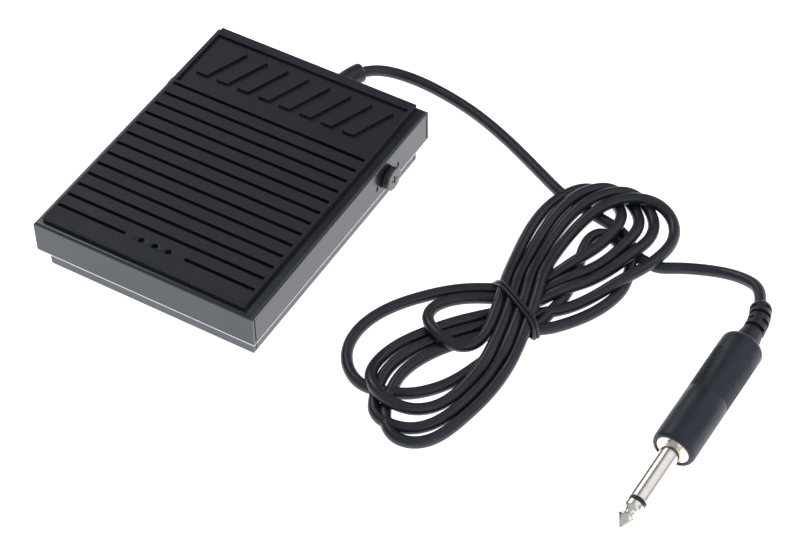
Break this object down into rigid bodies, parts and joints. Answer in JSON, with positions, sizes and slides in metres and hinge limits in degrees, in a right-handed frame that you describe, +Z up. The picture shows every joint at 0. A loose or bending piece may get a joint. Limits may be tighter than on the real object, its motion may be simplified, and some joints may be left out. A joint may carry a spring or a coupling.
{
  "type": "sustain pedal",
  "caption": "Square momentary foot pedal with a ribbed rubber tread on a hinged steel treadle over a folded tray, its switch, spring, coiled lead and quarter-inch jack plug.",
  "frame": {"origin": "on the floor under the middle of the treadle's footprint", "axes": "+X to the right seen from the front edge, +Y from the front edge towards the hinge, +Z up"},
  "size_m": [0.2181, 0.143, 0.0236],
  "materials": {
    "painted_steel": "satin black enamel on folded steel sheet",
    "tread_rubber": "matte moulded black rubber",
    "bush_plastic": "matte black moulded plastic",
    "black_screw": "black oxide, slightly glossy",
    "zinc_steel": "zinc-plated steel",
    "sole_rubber": "ribbed matte black rubber",
    "spring_steel": "drawn spring wire",
    "stop_rubber": "soft matte rubber",
    "switch_plastic": "black moulded plastic",
    "plunger_plastic": "red moulded plastic",
    "terminal_brass": "tinned brass",
    "cord_rubber": "smooth black PVC jacket, soft sheen",
    "core_plastic": "PVC core insulation",
    "tie_plastic": "black coated wire tie",
    "plug_nickel": "polished nickel plate",
    "insulator_plastic": "black plastic",
    "handle_plastic": "satin black moulded plastic with fine rings"
  },
  "bodies": {
    "base": {"pivot_spacer_left": "bush_plastic", "pivot_spacer_right": "bush_plastic", "pivot_screw_left": "black_screw", "pivot_screw_right": "black_screw", "pivot_nut_left": "zinc_steel", "pivot_nut_right": "zinc_steel", "base_tray": "painted_steel", "rubber_sole": "sole_rubber", "spring_cup": "bush_plastic", "return_spring": "spring_steel", "down_stop_left": "stop_rubber", "down_stop_right": "stop_rubber", "up_stop_left": "stop_rubber", "up_stop_right": "stop_rubber", "switch_bracket": "zinc_steel", "bracket_rivets": "zinc_steel", "switch_body": "switch_plastic", "switch_terminals": "terminal_brass", "cable_clip": "bush_plastic", "clip_screw": "zinc_steel", "inner_cable": "cord_rubber", "core_wires": "core_plastic", "strain_relief": "cord_rubber", "cord_lead": "cord_rubber", "cord_tail": "cord_rubber", "cord_coil": "cord_rubber", "cord_tie": "tie_plastic", "plug_tip": "plug_nickel", "plug_insulator": "insulator_plastic", "plug_sleeve": "plug_nickel", "plug_collar": "plug_nickel", "plug_handle": "handle_plastic", "plug_boot": "handle_plastic"},
    "treadle": {"pedal_cover": "painted_steel", "tread_pad": "tread_rubber", "pivot_bush_left": "bush_plastic", "pivot_bush_right": "bush_plastic", "spring_stud": "zinc_steel", "switch_striker": "zinc_steel"},
    "plunger": {"switch_plunger": "plunger_plastic"}
  },
  "joints": [
    {"name": "treadle_hinge", "type": "hinge", "parent": "base", "child": "treadle", "pos_m": [0, 0.0264, 0.014], "axis": [1, 0, 0], "range_deg": [0, 3.6], "stiffness_Nm_per_rad": 7.6, "springref_deg": -2.29, "deforming": ["return_spring"]},
    {"name": "plunger_slide", "type": "slide", "parent": "base", "child": "plunger", "axis": [0, 0, -1], "range_m": [0, 0.0018]}
  ],
  "couplings": [
    {"joint": "plunger_slide", "follows": "treadle_hinge", "m_per_rad": 0.0284}
  ]
}
